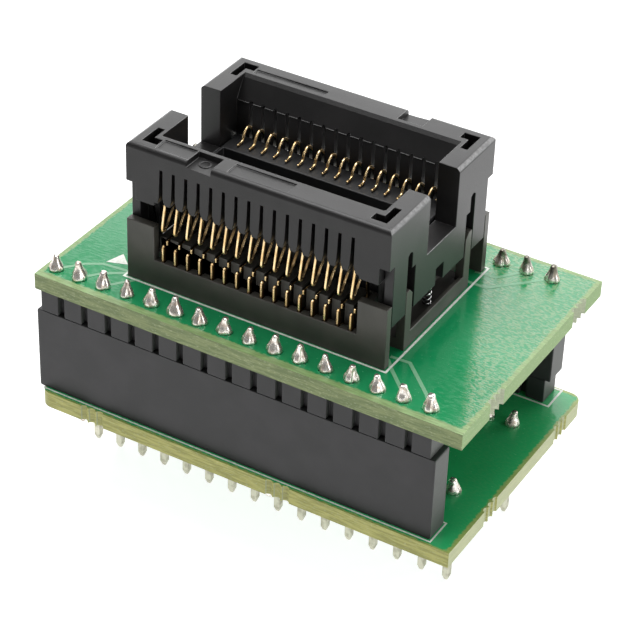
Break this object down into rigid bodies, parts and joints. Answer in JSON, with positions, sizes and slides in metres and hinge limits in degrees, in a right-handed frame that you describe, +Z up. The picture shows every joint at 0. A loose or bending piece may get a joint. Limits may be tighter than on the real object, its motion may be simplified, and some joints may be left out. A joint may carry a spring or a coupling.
{
  "type": "ic adapter socket",
  "caption": "Two stacked circuit boards on plug pins, joined by keyed header strips, with an open-top test socket whose sprung cover opens the contacts for a small outline chip.",
  "frame": {"origin": "middle of the plug pins, at their tips", "axes": "+Z up out of the socket, +X along the pin rows, +Y from the front pin row to the rear one"},
  "size_m": [0.0434, 0.0272, 0.0367],
  "materials": {
    "mask": "glossy solder mask on glass-fibre board",
    "strip": "matt moulded black",
    "body": "matt moulded charcoal",
    "seat": "matt moulded black",
    "pin": "tin plated",
    "contact": "gold plated",
    "solder": "bright solder",
    "spring": "bright drawn wire"
  },
  "bodies": {
    "lower_adapter": {"lower_board": "mask", "plug_strip_front": "strip", "plug_strip_rear": "strip", "plug_pins_front": "pin", "plug_pins_rear": "pin", "plug_solder": "solder", "lower_female_strip": "strip", "lower_female_contacts": "pin", "lower_male_strip": "strip", "lower_male_pins": "pin", "lower_solder": "solder"},
    "upper_module": {"upper_board": "mask", "upper_male_strip": "strip", "upper_male_pins": "pin", "upper_female_strip": "strip", "upper_female_contacts": "pin", "upper_solder": "solder", "socket_base": "body", "chip_seat": "seat", "contact_legs_front": "contact", "contact_legs_rear": "contact", "socket_solder": "solder", "spring_left": "spring", "spring_right": "spring"},
    "cover_frame": {"cover": "body"},
    "front_arms": {"contact_arms_front": "contact"},
    "rear_arms": {"contact_arms_rear": "contact"}
  },
  "joints": [
    {"name": "unplug", "type": "slide", "parent": "lower_adapter", "child": "upper_module", "axis": [0, 0, 1], "range_m": [0, 0.0065]},
    {"name": "cover_press", "type": "slide", "parent": "upper_module", "child": "cover_frame", "axis": [0, 0, -1], "range_m": [0, 0.00215], "stiffness_N_per_m": 1500, "springref_m": -0.0015, "deforming": ["spring_left", "spring_right"]},
    {"name": "front_open", "type": "hinge", "parent": "upper_module", "child": "front_arms", "pos_m": [0, -0.00563, 0.02708], "axis": [1, 0, 0], "range_deg": [0, 25.2]},
    {"name": "rear_open", "type": "hinge", "parent": "upper_module", "child": "rear_arms", "pos_m": [0, 0.00657, 0.02708], "axis": [-1, 0, 0], "range_deg": [0, 25.2]}
  ],
  "couplings": [
    {"joint": "front_open", "follows": "cover_press", "rad_per_m": 204},
    {"joint": "rear_open", "follows": "cover_press", "rad_per_m": 204}
  ]
}
